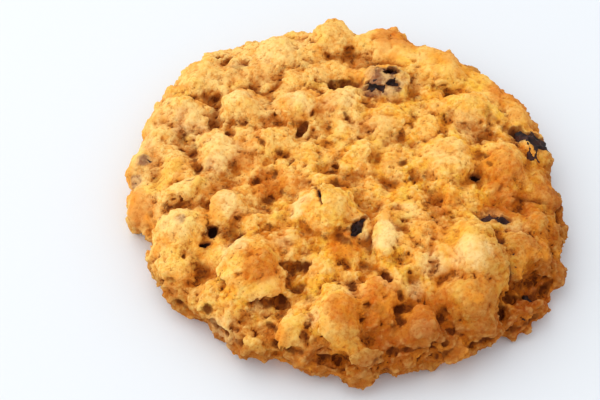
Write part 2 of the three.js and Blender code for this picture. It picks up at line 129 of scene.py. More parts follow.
# Mounds of the top: x, y, half length, half width, bearing of the length, how far the middle stands over the
# dough, how much more the side to the left of the bearing stands, how smooth.
MOUNDS = [
    (20.9, -21.5, 10.6, 5.9, 97, 2.6, -0.25, 0.4),
    (21.5, -19.6, 5.0, 3.3, 97, 3.0, -0.2, 0.8),
    (20.6, -26.8, 6.2, 5.0, 25, 1.6, -0.2, 0.0),
    (6.6, -15.2, 6.6, 2.1, 86, 0.8, 0.4, 0.2),
    (-16.2, -20.6, 7.0, 5.8, 78, 1.7, 0.0, 0.0),
    (-14.6, -24.6, 4.6, 2.6, 3, 1.2, -0.4, 0.5),
    (-1.4, -31.2, 7.0, 3.9, 93, 1.2, 0.4, 0.3),
    (6.0, -27.0, 5.0, 4.4, 30, 0.9, 0.0, 0.0),
    (12.4, -31.8, 4.4, 3.5, 85, 1.2, -0.3, 0.4),
    (-9.2, -32.6, 3.8, 2.1, 70, 0.9, 0.4, 0.4),
    (-3.0, -9.0, 5.4, 4.6, 120, 1.2, 0.0, 0.2),
    (18.2, 3.6, 6.0, 5.4, 30, 0.9, -0.5, 0.15),
    (28.2, 3.0, 6.0, 4.2, 95, 1.1, 0.0, 0.1),
    (23.4, 15.0, 6.6, 3.2, 165, 1.3, -0.4, 0.2),
    (-27.2, 16.4, 3.8, 1.7, 172, 1.0, -0.4, 0.0),
    (-28.0, -4.4, 4.2, 2.5, 22, 0.8, -0.4, 0.0),
    (-20.8, -8.4, 4.0, 3.2, 60, 0.9, 0.0, 0.0),
    (-28.6, -11.2, 5.2, 4.2, 20, 0.9, 0.0, 0.0),
    (-18.8, 15.8, 3.9, 3.4, 0, 1.0, 0.0, 0.0),
    (-9.0, 15.4, 4.2, 3.8, 20, 1.0, 0.0, 0.0),
    (-0.8, 15.8, 4.4, 3.6, 0, 1.0, 0.0, 0.0),
    (-22.2, 5.0, 4.2, 3.4, 20, 1.0, 0.0, 0.0),
    (-12.2, 8.4, 3.8, 2.8, 0, 0.8, 0.0, 0.0),
    (13.4, -12.6, 3.4, 2.5, 120, 0.8, 0.3, 0.0),
    (13.6, -20.0, 3.8, 3.2, 60, 0.8, 0.0, 0.0),
    (31.4, -17.2, 5.2, 3.6, 120, 1.0, 0.0, 0.0),
    (30.6, -11.6, 3.6, 2.6, 40, 0.8, 0.0, 0.0),
    (-30.4, -19.6, 4.4, 3.8, 100, 0.7, 0.0, 0.0),
    (-21.4, -28.8, 3.4, 2.6, 30, 0.8, 0.0, 0.0),
    (-14.6, -30.2, 3.4, 1.8, 10, 0.7, 0.0, 0.0),
    (10.6, 30.0, 6.0, 4.4, -8, 0.8, 0.0, 0.7),
    (18.0, 27.0, 6.6, 5.0, -35, 1.1, 0.0, 0.6),
    (27.6, 20.6, 6.6, 4.4, -48, 1.1, 0.0, 0.45),
    (33.6, 13.4, 4.6, 3.6, -60, 0.8, 0.0, 0.4),
    (-11.6, 30.4, 5.0, 4.0, 10, 0.8, 0.0, 0.3),
    (-1.2, 33.4, 3.6, 3.4, 0, 0.6, 0.0, 0.3),
    (4.6, 34.4, 5.0, 3.4, 5, 0.8, 0.0, 0.6),
    (-27.6, 25.4, 4.6, 3.8, 40, 0.8, 0.0, 0.3),
    (-35.6, 13.0, 4.2, 2.4, 70, 0.6, 0.0, 0.5),
    (-37.0, 5.6, 4.6, 2.8, 80, 0.7, 0.0, 0.6),
    (-36.8, -5.6, 5.2, 3.6, 95, 0.8, 0.0, 0.6),
    (15.6, 16.0, 5.0, 4.0, 20, 0.7, 0.0, 0.1),
    (9.0, 12.6, 4.6, 3.8, 10, 0.7, 0.0, 0.1),
    (35.0, -1.0, 5.0, 3.6, 90, 0.8, 0.0, 0.3),
    (18.4, -31.8, 3.4, 2.6, 160, 0.8, 0.0, 0.0),
]

# Mounds of the side: bearing and height, half length round the side, half height, how far the middle stands,
# how smooth.
SIDE_MOUNDS = [
    (275, 7.6, 2.9, 2.0, 1.8, 0.3),
    (273, 3.2, 3.8, 2.6, 1.4, 0.2),
    (265, 3.0, 3.2, 2.2, 1.1, 0.0),
    (283.5, 4.4, 3.4, 2.4, 1.3, 0.1),
    (290, 2.6, 3.2, 2.2, 1.0, 0.0),
    (297.4, 5.4, 3.2, 2.6, 1.3, 0.2),
    (303, 2.8, 3.0, 2.2, 1.0, 0.0),
    (309, 5.8, 4.2, 3.0, 1.4, 0.2),
    (318, 2.6, 3.0, 2.2, 1.0, 0.0),
    (324, 2.4, 3.0, 2.2, 1.3, 0.2),
    (334, 3.0, 3.8, 2.6, 1.2, 0.0),
    (345, 3.6, 3.8, 2.8, 1.1, 0.0),
    (356, 4.4, 4.2, 3.0, 1.0, 0.0),
    (257, 5.6, 3.4, 2.2, 1.1, 0.2),
    (250, 3.4, 3.4, 2.4, 1.1, 0.0),
    (246, 6.2, 3.0, 1.8, 1.0, 0.2),
    (240, 3.4, 3.4, 2.6, 1.1, 0.0),
    (232, 4.4, 3.6, 2.6, 1.0, 0.0),
    (223, 3.2, 3.6, 2.6, 1.1, 0.0),
    (213, 4.0, 3.6, 2.6, 1.0, 0.0),
    (203, 3.4, 3.6, 2.6, 1.1, 0.0),
    (8, 4.8, 4.0, 3.0, 1.0, 0.1),
    (22, 4.0, 4.6, 3.2, 0.9, 0.2),
    (36, 4.6, 5.0, 3.4, 0.9, 0.3),
    (50, 4.2, 5.0, 3.4, 0.9, 0.3),
    (63, 4.6, 4.6, 3.4, 0.9, 0.3),
    (88, 4.4, 5.0, 3.4, 0.9, 0.3),
    (101, 4.4, 4.6, 3.2, 0.9, 0.2),
    (114, 4.2, 4.4, 3.2, 0.9, 0.2),
    (127, 4.4, 4.8, 3.2, 0.9, 0.3),
    (141, 4.4, 4.8, 3.4, 0.9, 0.3),
    (155, 4.6, 4.8, 3.4, 0.9, 0.4),
]

# Where a raisin shows through its film of dough: x, y, half length, half width and bearing of the gap.
GAPS = [
    (8.9, 22.6, 1.2, 0.6, -12),
    (7.4, 23.4, 0.8, 0.3, 20),
    (9.3, 19.9, 0.8, 0.5, 10),
    (4.5, 19.7, 0.35, 0.45, 0),
    (5.4, 19.1, 0.4, 0.4, 0),
    (6.9, 18.9, 0.5, 0.35, 0),
    (4.4, 21.0, 0.5, 0.25, 30),
    (31.8, 10.2, 1.1, 1.5, 20),
    (34.6, 8.8, 1.1, 1.7, 15),
    (36.4, 8.8, 0.9, 1.0, 15),
    (-22.9, -12.6, 0.6, 0.9, 0),
    (-24.2, -14.9, 0.7, 0.3, 20),
    (-4.7, -7.2, 2.6, 0.16, 98),
    (2.0, -13.1, 1.3, 0.7, 60),
    (3.2, -11.2, 0.7, 0.35, 60),
    (24.9, -9.7, 1.15, 0.55, 15),
    (27.6, -10.2, 0.9, 0.7, 20),
    (23.2, -0.6, 0.55, 0.45, 0),
    (26.3, -15.6, 0.55, 0.75, 0),
    (27.5, -21.5, 0.45, 0.9, 10),
]

# Where the film over a raisin is grey: x, y, radius, strength.
VEILS = [
    (7.4, 20.8, 5.0, 1.0),
    (-19.8, 26.3, 2.2, 0.5),
    (-35.6, 4.0, 2.0, 1.0),
    (-37.0, 0.2, 1.8, 0.9),
    (-36.4, 2.4, 3.2, 0.4),
    (-28.4, -11.2, 1.5, 1.0),
    (26.0, -9.6, 3.0, 0.4),
    (-31.6, -9.2, 1.4, 0.9),
]

# Creases and pits of the top: x and y of both ends, half width, depth, how dark the painted shade in it is.
CREASES = [
    (-23.4, 19.0, -23.3, 11.5, 0.9, 1.3, 0.6),
    (-29.5, 18.8, -25.0, 19.4, 0.7, 1.0, 0.5),
    (-12.6, 17.4, -13.2, 18.4, 0.6, 1.0, 0.8),
    (-17.2, 20.6, -15.6, 21.0, 0.8, 1.0, 0.6),
    (-4.6, 18.6, -4.2, 19.2, 0.5, 0.8, 0.7),
    (-1.6, 21.6, 3.4, 21.9, 1.1, 1.8, 1.0),
    (1.6, 26.4, 4.2, 26.2, 1.3, 1.0, 0.5),
    (5.0, 28.6, 6.0, 26.6, 0.4, 0.8, 0.7),
    (-15.6, 7.8, -14.4, 6.0, 0.35, 1.0, 0.9),
    (-6.7, 11.4, -8.4, 8.0, 0.5, 1.3, 1.0),
    (-27.4, 8.0, -26.0, 1.0, 1.0, 1.1, 0.6),
    (-12.6, -0.6, -12.2, 0.6, 0.6, 0.9, 0.9),
    (-16.2, -2.0, -15.4, -1.4, 0.7, 0.9, 0.8),
    (-14.2, -5.6, -13.0, -5.2, 0.8, 1.0, 0.8),
    (-27.8, -3.2, -26.2, -2.8, 0.35, 0.8, 0.8),
    (-31.0, -7.2, -27.2, -6.4, 0.45, 0.9, 0.8),
    (-34.6, -6.4, -33.6, -9.0, 0.9, 1.0, 0.5),
    (10.2, 1.6, 10.8, 2.2, 0.6, 1.0, 0.9),
    (0.2, 12.6, 0.6, 11.6, 0.5, 0.9, 0.9),
    (-2.0, -3.0, -0.6, -2.6, 1.0, 1.3, 1.0),
    (5.2, 2.6, 6.6, 2.8, 0.7, 0.8, 0.5),
    (24.6, 4.2, 25.6, 3.0, 0.6, 1.2, 0.9),
    (25.6, 1.8, 26.2, 1.2, 0.5, 0.9, 0.8),
    (15.4, -1.4, 19.0, -2.2, 0.4, 0.8, 0.8),
    (20.0, -3.6, 20.9, -3.4, 0.6, 1.0, 0.8),
    (18.4, -7.4, 20.2, -7.2, 0.6, 0.5, 0.5),
    (27.2, -3.6, 27.8, -2.6, 0.5, 0.8, 0.7),
    (30.4, -4.6, 35.4, -5.2, 0.8, 1.3, 0.7),
    (26.0, 14.0, 29.6, 11.6, 1.1, 1.2, 0.5),
    (-10.6, -20.2, -6.8, -20.0, 1.0, 1.7, 0.9),
    (-16.6, -27.2, -10.4, -26.6, 0.7, 1.6, 0.8),
    (-24.9, -27.4, -24.6, -28.2, 1.4, 2.0, 1.0),
    (-25.6, -18.6, -24.6, -21.2, 1.2, 1.0, 0.5),
    (-30.4, -21.0, -29.2, -21.4, 0.7, 0.8, 0.6),
    (-17.9, -27.9, -17.5, -28.1, 0.5, 1.0, 0.9),
    (-12.9, -31.0, -12.2, -31.6, 1.0, 1.4, 0.9),
    (-17.4, -32.2, -16.4, -32.4, 0.9, 1.0, 0.7),
    (-7.4, -33.0, -6.8, -33.8, 0.7, 1.0, 0.6),
    (-8.6, -24.2, -7.8, -23.8, 0.7, 1.0, 0.7),
    (9.2, -31.4, 8.4, -28.8, 0.7, 1.6, 0.9),
    (8.4, -28.8, 10.2, -27.8, 0.6, 1.6, 0.9),
    (9.1, -26.0, 9.6, -26.8, 0.7, 1.5, 1.0),
    (6.4, -22.4, 7.2, -23.4, 0.5, 1.0, 0.7),
    (16.6, -28.4, 15.2, -31.0, 0.9, 1.4, 0.7),
    (16.2, -23.4, 16.8, -22.4, 0.5, 1.0, 0.7),
    (-0.8, -15.2, 0.6, -16.8, 1.1, 1.6, 0.9),
    (-0.4, -20.0, 0.6, -20.6, 0.9, 0.8, 0.5),
    (25.6, -24.0, 26.4, -27.0, 1.0, 1.6, 0.8),
    (3.0, -29.2, 5.4, -29.8, 1.1, 0.5, 0.5),
    (11.0, -9.4, 8.6, -8.0, 0.5, 0.7, 0.6),
    (26.2, -12.4, 27.6, -20.4, 0.9, 1.2, 0.35),
    (15.0, -13.6, 14.4, -22.6, 0.9, 0.9, 0.2),
    (28.2, -23.4, 33.6, -22.2, 1.0, 1.5, 1.0),
    (2.6, -12.4, 1.2, -14.8, 0.9, 1.4, 0.9),
]

# Creases and pits of the side: bearing and height of both ends, half width, depth, how dark the painted shade
# in it is.
SIDE_CREASES = [
    (248, 6.6, 258, 6.8, 0.6, 1.7, 1.0),
    (262, 5.2, 268, 5.2, 0.6, 1.6, 1.0),
    (270, 6.0, 279, 7.4, 0.5, 1.7, 1.0),
    (281, 7.2, 296, 7.0, 0.5, 1.9, 1.0),
    (279, 3.2, 280, 5.2, 0.5, 1.6, 0.9),
    (294, 5.4, 297, 6.0, 0.6, 1.6, 0.9),
    (298, 7.4, 301, 7.0, 0.6, 1.6, 0.9),
    (303, 5.0, 308, 4.6, 0.6, 1.8, 0.9),
    (240, 5.0, 243, 5.6, 0.6, 1.6, 0.9),
    (230, 5.2, 236, 4.6, 0.6, 1.6, 0.8),
    (219, 4.4, 224, 4.0, 0.6, 1.6, 0.8),
    (208, 4.0, 213, 4.6, 0.6, 1.6, 0.7),
    (313, 3.0, 321, 3.2, 0.7, 1.9, 0.9),
    (327, 3.6, 331, 4.0, 0.7, 1.8, 0.9),
    (338, 4.0, 343, 4.4, 0.7, 1.8, 0.8),
    (349, 5.8, 355, 5.6, 0.7, 1.8, 0.8),
]

# Browned patches, some of them painted shade on the near side, the near right and in shaded valleys: x, y,
# radius, strength.
BROWNED_AND_SHADED = [
    (30.0, -25.6, 7.0, 1.3),
    (36.0, -24.0, 6.0, 1.0),
    (-14.4, -22.0, 4.4, 1.2),
    (22.5, -27.0, 5.0, 0.55),
    (19.0, -28.0, 4.0, 0.3),
    (17.5, -7.0, 4.0, 0.6),
    (24.4, 15.4, 4.0, 0.3),
    (-13.6, -2.0, 5.0, 0.9),
    (-17.5, 2.6, 3.6, 0.7),
    (-21.0, -3.6, 2.6, 0.5),
    (-1.0, -3.6, 3.0, 0.8),
    (6.0, 3.0, 3.0, 0.5),
    (5.0, -28.4, 5.0, 0.8),
    (-36.0, -6.0, 5.0, 0.8),
    (33.0, -16.0, 6.0, 0.6),
    (28.0, 0.0, 6.0, 0.8),
    (27.0, -7.0, 4.5, 0.9),
    (33.0, -8.6, 4.5, 0.6),
    (36.0, -2.0, 5.5, 0.7),
    (10.0, 33.0, 6.0, 0.8),
    (20.0, 29.0, 7.0, 0.6),
    (31.0, 21.0, 8.0, 0.8),
    (34.0, 15.0, 6.0, 0.5),
    (-25.0, -20.0, 3.6, 0.6),
    (-29.6, -21.6, 3.6, 0.6),
    (31.0, -6.0, 5.0, 0.9),
    (13.0, -14.0, 3.0, 0.4),
    (-11.0, -12.0, 3.0, 0.5),
    (2.4, 26.4, 3.4, 0.6),
    (-36.0, 12.0, 4.0, 0.3),
    (0.4, -30.0, 5.0, 1.0),
    (6.4, -29.6, 6.4, 1.3),
    (14.0, -30.0, 6.0, 1.2),
    (9.4, -34.0, 5.0, 0.9),
    (-12.0, -33.0, 4.0, 0.7),
    (-0.4, -17.0, 4.2, 1.0),
]

# Oat flakes that show: x, y, half length, half width, bearing of the length, lift in degrees of the side to
# the left of it, how far it is sunk, how pale.
FLAKES = [
    (-9.0, -33.4, 3.8, 1.7, 62, -14, 0.2, 0.1),
    (34.2, -18.6, 2.2, 1.5, 100, 0, 0.1, 0.16),
    (-26.2, 16.4, 3.2, 1.5, 172, 6, 0.45, 0.24),
    (15.6, -20.6, 2.4, 1.6, 70, 8, 0.3, 0.2),
    (-21.4, -7.4, 2.8, 2.0, 40, 8, 0.4, 0.2),
    (-3.4, 14.6, 3.2, 2.2, 20, 8, 0.4, 0.16),
    (-28.4, -3.8, 3.6, 1.8, 25, 10, 0.3, 0.16),
]

# Oat flakes in the side: bearing and height, half length, half width, turn from level in degrees, how pale.
SIDE_FLAKES = [
    (275, 8.2, 3.0, 1.9, 6, 0.05),
    (273, 3.6, 3.2, 1.8, -8, 0.0),
    (251, 5.9, 3.0, 1.6, 14, 0.2),
    (297, 5.6, 2.6, 1.8, -10, 0.1),
    (312, 7.6, 3.4, 1.6, 30, 0.3),
    (236, 5.0, 2.6, 1.6, 20, 0.1),
    (186, 5.6, 3.0, 1.8, 12, 0.3),
    (148, 6.2, 3.2, 1.9, -14, 0.2),
    (97, 5.6, 3.4, 2.0, 8, 0.2),
    (52, 5.0, 3.0, 1.9, -6, 0.1),
    (14, 4.2, 3.0, 1.8, 10, 0.1),
]

# Pale patches: x, y, radius, strength. The first is a painted highlight on the big mound at the near right.
PALE = [
    (21.5, -19.8, 4.8, 0.65),
    (-18.8, 16.6, 3.6, 0.45),
    (-9.0, 15.6, 4.4, 0.52),
    (-0.6, 16.4, 4.6, 0.45),
    (-21.6, 6.0, 4.6, 0.45),
    (18.6, 3.6, 5.4, 0.38),
    (-29.0, -11.4, 5.0, 0.45),
    (-20.6, -8.0, 3.8, 0.52),
    (-19.4, -17.0, 4.0, 0.52),
    (-14.4, -27.0, 3.0, 0.4),
    (-5.3, -30.6, 2.4, 0.5),
    (6.2, -15.0, 4.6, 0.68),
    (14.6, -20.4, 3.2, 0.52),
    (11.4, -24.8, 2.6, 0.45),
    (12.0, -33.6, 3.4, 0.22),
    (-9.0, -33.4, 3.0, 0.25),
    (-12.0, 30.0, 6.0, 0.38),
    (-34.0, 14.0, 5.0, 0.38),
    (-7.4, -8.6, 3.0, 1.0),
    (11.0, -9.0, 3.4, 0.52),
    (6.0, 8.0, 7.0, 0.3),
    (30.0, -12.4, 3.6, 0.38),
    (-28.0, -4.0, 3.6, 0.38),
    (-36.0, 8.0, 4.0, 0.38),
    (-11.0, -16.0, 3.0, 0.38),
    (3.3, -38.0, 3.6, 0.2),
    (-28.0, 12.4, 5.0, 0.45),
    (-22.6, 2.6, 3.6, 0.5),
    (0.6, 11.2, 4.0, 0.4),
    (-21.6, -31.0, 4.4, 0.45),
    (0.6, -25.4, 3.6, 0.4),
    (8.0, -24.4, 3.6, 0.35),
    (22.0, 10.6, 5.0, 0.33),
]

# ---- Small helpers ----


def linear(red, green, blue, alpha=1.0):
    """A colour as the render takes it, from its 0 to 255 values on a screen."""
    channels = [value / 255 for value in (red, green, blue)]
    return (*[c / 12.92 if c <= 0.04045 else ((c + 0.055) / 1.055) ** 2.4 for c in channels], alpha)


def smoothstep(low, high, value):
    t = np.clip((value - low) / (high - low), 0, 1)
    return t * t * (3 - 2 * t)


def linked(name, data):
    """A new object in the scene."""
    made = bpy.data.objects.new(name, data)
    bpy.context.scene.collection.objects.link(made)
    return made


def new_object(name, points, faces):
    mesh = bpy.data.meshes.new(name)
    mesh.from_pydata([tuple(p) for p in points], [], [tuple(f) for f in faces])
    mesh.update()
    return linked(name, mesh)


def vectors_of(mesh, kind):
    """Each vertex's "co" or "normal", as rows."""
    flat = np.empty(len(mesh.vertices) * 3, np.float32)
    mesh.vertices.foreach_get(kind, flat)
    return flat.reshape(-1, 3).astype(float)


def set_points(mesh, points):
    mesh.vertices.foreach_set("co", np.asarray(points, np.float32).ravel())
    mesh.update()


def store(mesh, name, values):
    """Keep a number for each vertex, for the material to read."""
    mesh.attributes.new(name, "FLOAT", "POINT").data.foreach_set("value", np.asarray(values, np.float32))


def baked(made):
    """The object's mesh with its modifiers applied; the object itself goes."""
    bpy.context.view_layer.update()
    graph = bpy.context.evaluated_depsgraph_get()
    mesh = bpy.data.meshes.new_from_object(made.evaluated_get(graph))
    old = made.data
    bpy.data.objects.remove(made)
    bpy.data.meshes.remove(old)
    return mesh


def remeshed(points, faces, voxel):
    made = new_object("remesh", points, faces)
    modifier = made.modifiers.new("remesh", "REMESH")
    modifier.mode = "VOXEL"
    modifier.voxel_size = voxel
    return baked(made)


def cad_form(name):
    """A CAD node's points, in millimetres, and faces."""
    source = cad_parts[name].data
    return vectors_of(source, "co") * METRE, [tuple(polygon.vertices) for polygon in source.polygons]


class Skin:
    """A closed mesh's points as arrays, with smoothing over its edges and rays cast at it."""

    def __init__(self, mesh):
        self.mesh = mesh
        self.points = vectors_of(mesh, "co")
        self.faces = [tuple(polygon.vertices) for polygon in mesh.polygons]
        edges = np.empty(len(mesh.edges) * 2, np.int32)
        mesh.edges.foreach_get("vertices", edges)
        edges = edges.reshape(-1, 2)
        self.start = np.concatenate([edges[:, 0], edges[:, 1]])
        self.end = np.concatenate([edges[:, 1], edges[:, 0]])
        self.count = np.bincount(self.start, minlength=len(self.points)).clip(1)

    def averaged(self, values, rounds):
        """Each point's values blended with its neighbours', that many times over."""
        columns = values.reshape(len(values), -1)
        for _ in range(rounds):
            sums = [np.bincount(self.start, column[self.end], len(column)) for column in columns.T]
            columns = 0.5 * columns + 0.5 * np.stack(sums, 1) / self.count[:, None]
        return columns.reshape(values.shape)

    def smoothed(self, rounds):
        self.points = self.averaged(self.points, rounds)

    def sunk(self, normals, rounds):
        """How deep each point lies under the skin round it, which more rounds take from further off."""
        return ((self.averaged(self.points, rounds) - self.points) * normals).sum(1)

    def normals(self):
        set_points(self.mesh, self.points)
        return vectors_of(self.mesh, "normal")

    def settle(self):
        """Ready the skin for rays, once its points are final."""
        set_points(self.mesh, self.points)
        self.tree = BVHTree.FromPolygons(self.points.tolist(), self.faces)

    def on_top(self, x, y):
        """Where the top is at a plan point, or inward from it past the rim, and the way it faces."""
        for share in np.linspace(1, 0.8, 21):
            spot, facing, _, _ = self.tree.ray_cast(Vector((x * share, y * share, SKY_Z)), Vector((0, 0, -1)))
            if spot is not None:
                return spot, facing

    def on_side(self, bearing, height):
        """Where the side is at a bearing in degrees and a height, and the way it faces."""
        turn = math.radians(bearing)
        out = Vector((math.cos(turn), math.sin(turn), 0))
        spot, facing, _, _ = self.tree.ray_cast(out * SIDE_REACH + Vector((0, 0, height)), -out)
        return spot, facing

    def joined(self, pieces, voxel):
        """One new skin over this one and the pieces set on it."""
        faces = self.faces + [tuple(i + len(self.points) for i in face) for face in pieces.faces]
        return Skin(remeshed(np.concatenate([self.points, *pieces.points]), faces, voxel))


class Pieces:
    """Many small closed forms as one list of points and faces, each face with a tone and a paleness."""

    def __init__(self):
        self.points, self.faces, self.traits, self.count = [], [], [], 0

    def add(self, points, faces, middle, tone=0.5, pale=0.0):
        self.points.append(points + np.array(middle))
        self.faces += [tuple(i + self.count for i in face) for face in faces]
        self.traits += [(tone, pale)] * len(faces)
        self.count += len(points)


# ---- Patterns that relief is made of, each a number for every point ----


def footward(points):
    """From 0 on the top to 1 at the foot of the side."""
    return smoothstep(9.0, 5.0, points[:, 2])


def field(points, size, seed=0.0):
    """Smooth noise from about -1 to 1, with lumps of that size."""
    spots = points / size + (seed, -seed, 0)
    return np.array([noise.noise(spot) for spot in spots.tolist()])


def cells(points, size, seed=0.0):
    """The distances to the nearest two of a scatter of spots, in cell sizes."""
    spots = points / size + (seed, seed, 0)
    return np.array([noise.voronoi(spot)[0][:2] for spot in spots.tolist()])


def warped(points, size, reach):
    """Offsets that bend a pattern, so that its cells aren't regular."""
    return reach * np.stack([field(points, size, seed) for seed in (31.0, 37.0, 41.0)], 1)


def domed(points, size, seed, bend):
    """Domes of that size that meet in creases, from about 0.5 at a middle to -0.6 in a corner."""
    return 0.5 - 1.4 * cells(points + bend, size, seed)[:, 0] ** 2


def billows(points, size, seed):
    """Uneven bumps of about that size with creases between them, from about -0.3 in a crease to 0.5."""
    return np.abs(field(points, size, seed)) - 0.27


def cracked(points, size, seed, bend):
    """Narrow cracks between chunks of that size, 1 in the middle of a crack."""
    found = cells(points + bend, size, seed)
    return smoothstep(0.3, 0.0, found[:, 1] - found[:, 0])


def plated(points, size, seed, bend):
    """Tilted plates of about that size that overlap as oats do, from about -0.5 to 0.5."""
    heights = []
    for spot in ((points + bend) / size + seed).tolist():
        middle = noise.voronoi(spot)[1][0]
        tilt = 2 * noise.cell_vector(middle) - Vector((1, 1, 1))
        level = noise.cell(middle + Vector((9, 5, 3))) - 0.5
        heights.append(0.8 * tilt.dot(Vector(spot) - middle) + 0.7 * level)
    return np.array(heights)


# ---- The dough: the CAD solid, smoothed ----


def smoothed_dough():
    """The CAD dough as an even skin just inside it, with its clefts shallower and its rim moved."""
    base = Skin(remeshed(*cad_form("dough"), BASE_VOXEL))
    base.smoothed(3)
    normals = base.normals()
    sunk = np.minimum(-base.sunk(normals, CLEFT_ROUNDS), 0)[:, None]
    inset = INSET * (1.3 - 0.3 * normals[:, 2:])
    base.points = base.points - (CLEFT_FILL * sunk + inset) * normals * smoothstep(1, 3, base.points[:, 2:])
    bearings = np.degrees(np.arctan2(base.points[:, 1], base.points[:, 0]))
    shift = np.interp(bearings, list(RIM_SHIFTS), list(RIM_SHIFTS.values()), period=360)
    outward = smoothstep(0.7, 0.95, np.hypot(base.points[:, 0], base.points[:, 1]) / RADIUS)
    base.points[:, :2] *= (1 + outward * shift / RADIUS)[:, None]
    return base


# ---- A film of dough over each raisin ----

RAISINS = sorted(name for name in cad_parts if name.startswith("raisin"))


def raisin_films():
    """Each raisin, larger by the thickness of its film."""
    films = Pieces()
    for name in RAISINS:
        points, faces = cad_form(name)
        middle = points.mean(0)
        reach = np.linalg.norm(points - middle, axis=1).mean()
        films.add((points - middle) * (1 + FILMS.get(name, FILM) / reach), faces, middle)
    return films


def film_over(points, reach):
    """Each point's distance from the nearest raisin whose film isn't thick, no further than the reach."""
    distances = np.full(len(points), float(reach))
    for name in RAISINS:
        if FILMS.get(name, FILM) > FILM:
            continue
        raisin_points, faces = cad_form(name)
        tree = BVHTree.FromPolygons(raisin_points.tolist(), faces)
        away = np.linalg.norm(points - raisin_points.mean(0), axis=1)
        for i in np.flatnonzero(away < RAISIN_REACH + reach):
            distances[i] = min(distances[i], tree.find_nearest(Vector(points[i]))[3])
    return distances


# Places in the tables above are found on this skin, which has no relief yet, and those of flakes on the form.
covered = smoothed_dough().joined(raisin_films(), FORM_VOXEL)
covered.smoothed(3)
covered.settle()

# ---- Mounds, creases, gaps and patches from the tables ----


def in_lengths(away, bearing, along, across):
    """Offsets in plan as shares of a half length on that bearing in degrees and of a half width."""
    turn = math.radians(bearing)
    u = (away[:, 0] * math.cos(turn) + away[:, 1] * math.sin(turn)) / along
    v = (away[:, 1] * math.cos(turn) - away[:, 0] * math.sin(turn)) / across
    return u, v


def placed_mounds():
    """Each mound's middle, the way the dough faces there, and its sizes."""
    for x, y, *sizes in MOUNDS:
        yield *covered.on_top(x, y), *sizes
    for bearing, height, along, across, rise, smoothness in SIDE_MOUNDS:
        yield *covered.on_side(bearing, height), along, across, bearing + 90, rise, 0, smoothness


def mounded(points, normals, unevenness):
    """How far the mounds raise each point, and how smooth they are there."""
    raised = np.full(len(points), -1.0)
    smooth = np.zeros(len(points))
    for spot, facing, along, across, bearing, rise, tilt, smoothness in placed_mounds():
        to_plane = np.array(Vector((0, 0, 1)).rotation_difference(facing).to_matrix()).T
        away = (points - np.array(spot)) @ to_plane.T
        u, v = in_lengths(away, bearing, along, across)
        rough = 1 - 0.6 * smoothness
        reach = np.hypot(u, v) * (1 + 0.25 * rough * unevenness[0]) + 0.2 * rough * unevenness[1]
        here = (reach < 1.1) & (np.abs(away[:, 2]) < 5) & (normals @ np.array(facing) > 0)
        height = np.where(here, MOUND_GAIN * rise * (1 + tilt * v) * (1 - reach**3), -1.0)
        smoother = np.where(here, smoothness * smoothstep(1.0, 0.7, reach), 0)
        smooth = np.where(height > raised, smoother, smooth)
        raised = np.maximum(raised, height)
    return raised, smooth


def crease_ends():
    """Both ends of each crease, with its half width, depth and darkness."""
    for x1, y1, x2, y2, *rest in CREASES:
        yield covered.on_top(x1, y1)[0], covered.on_top(x2, y2)[0], *rest
    for turn1, height1, turn2, height2, *rest in SIDE_CREASES:
        yield covered.on_side(turn1, height1)[0], covered.on_side(turn2, height2)[0], *rest


def along_line(points, normals, start, end, width, unevenness):
    """Each point's distance from a line between two spots, seen along the skin, in widths."""
    start, end = np.array(start), np.array(end)
    line = end - start
    away = points - start
    share = np.clip((away @ line) / (line @ line), 0, 1)
    away = away - share[:, None] * line
    flat = away - (away * normals).sum(1)[:, None] * normals
    close = np.linalg.norm(away, axis=1) < 4
    return np.where(close, np.linalg.norm(flat, axis=1) / width + unevenness, 9)


def creased(points, normals, fine=0.0):
    """How deep the creases make each point and how dark their painted shade is, with edges as uneven as the
    share of fine noise.
    """
    unevenness = 0.7 * field(points, 1.3, 9.0) + 0.6 * field(points, 3.1, 5.0)
    unevenness = unevenness + fine * field(points, 0.8, 14.0)
    depth = np.zeros(len(points))
    crease_shade = np.zeros(len(points))
    for start, end, half, deep, shade_strength in crease_ends():
        spread = along_line(points, normals, start, end, half, unevenness)
        depth = np.maximum(depth, deep * np.clip(1 - spread / 1.6, 0, 1) ** 1.3)
        crease_shade = np.maximum(crease_shade, shade_strength * smoothstep(1.1, 0.1, spread))
    return depth, crease_shade


def gapped(points, spread=1.0, unevenness=0.0):
    """How much each point lies in a gap of the film over a raisin, with the gaps' sizes times the spread."""
    gap = np.zeros(len(points))
    for x, y, along, across, bearing in GAPS:
        away = points - np.array(covered.on_top(x, y)[0])
        u, v = in_lengths(away, bearing, along, across)
        reach = np.hypot(np.hypot(u, v), away[:, 2] / max(1.6 * along, 1.8)) / spread + unevenness
        gap = np.maximum(gap, smoothstep(1.9, 0.6, reach))
    return gap


def patches(table, points, unevenness):
    """The strongest patch at each point, with uneven edges."""
    strength = np.zeros(len(points))
    for x, y, radius, amount in table:
        reach = np.linalg.norm(points - np.array(covered.on_top(x, y)[0]), axis=1) / radius + unevenness
        strength = np.maximum(strength, amount * smoothstep(1.15, 0.35, reach))
    return strength


# ---- The form: mounds, lumps between them and creases, along the skin's normals ----


